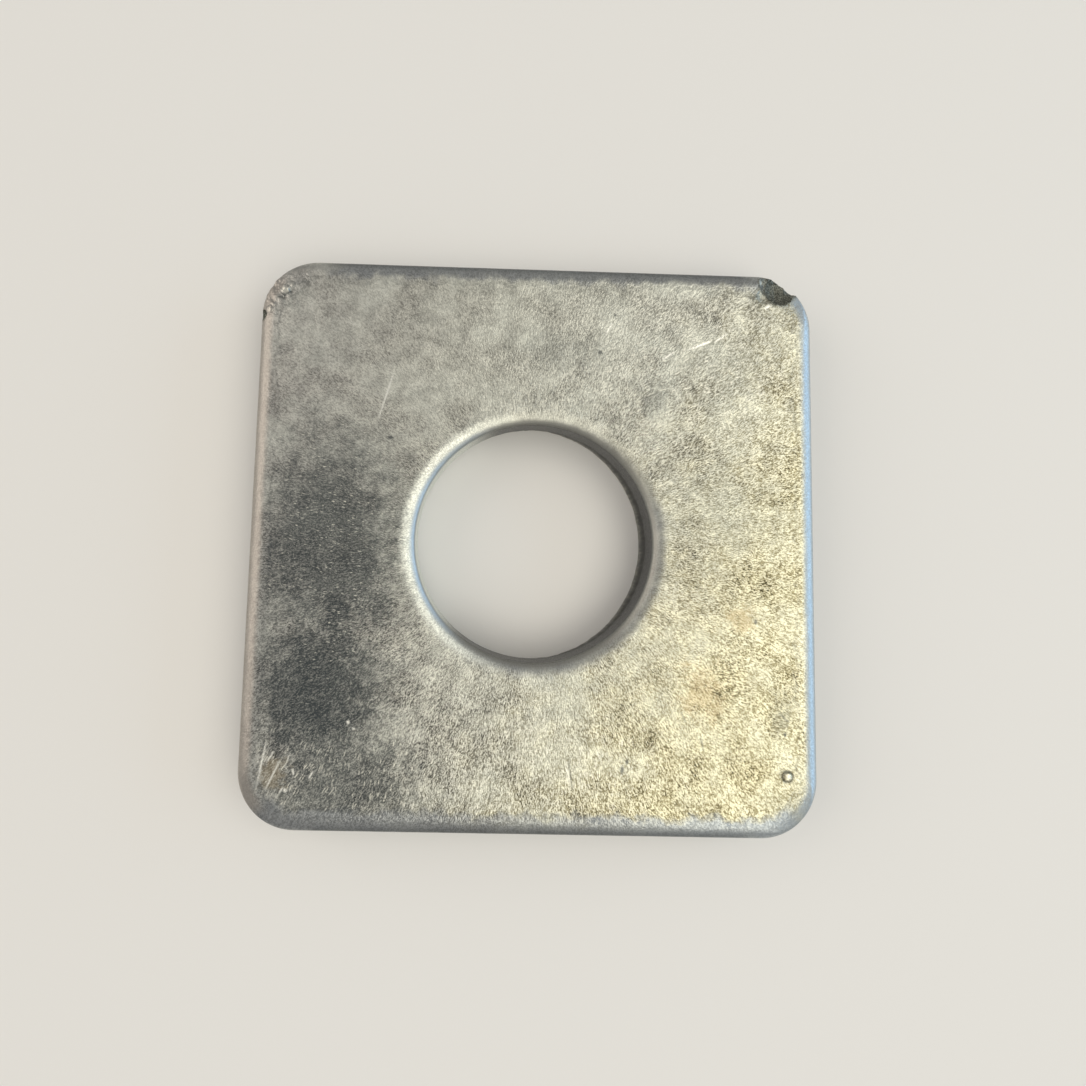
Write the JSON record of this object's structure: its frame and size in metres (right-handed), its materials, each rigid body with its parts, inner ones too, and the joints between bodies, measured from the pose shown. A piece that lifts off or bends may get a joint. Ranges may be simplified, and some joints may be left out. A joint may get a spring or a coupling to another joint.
{
  "type": "square plate washer",
  "caption": "Flat square steel plate washer with rounded corners and a round central bolt hole, hot-dip galvanised.",
  "frame": {"origin": "centre of the bolt hole on the underside, the flat face that bears on the timber or steel", "axes": "+Z along the bolt hole, from the underside to the face with the pulled-down edges; +X and +Y along the sides"},
  "size_m": [0.05, 0.05, 0.0052],
  "materials": {
    "zinc": "hot-dip galvanised steel, matt to satin, with fine grain and smudges"
  },
  "bodies": {
    "root": {"plate_washer": "zinc"}
  },
  "joints": []
}
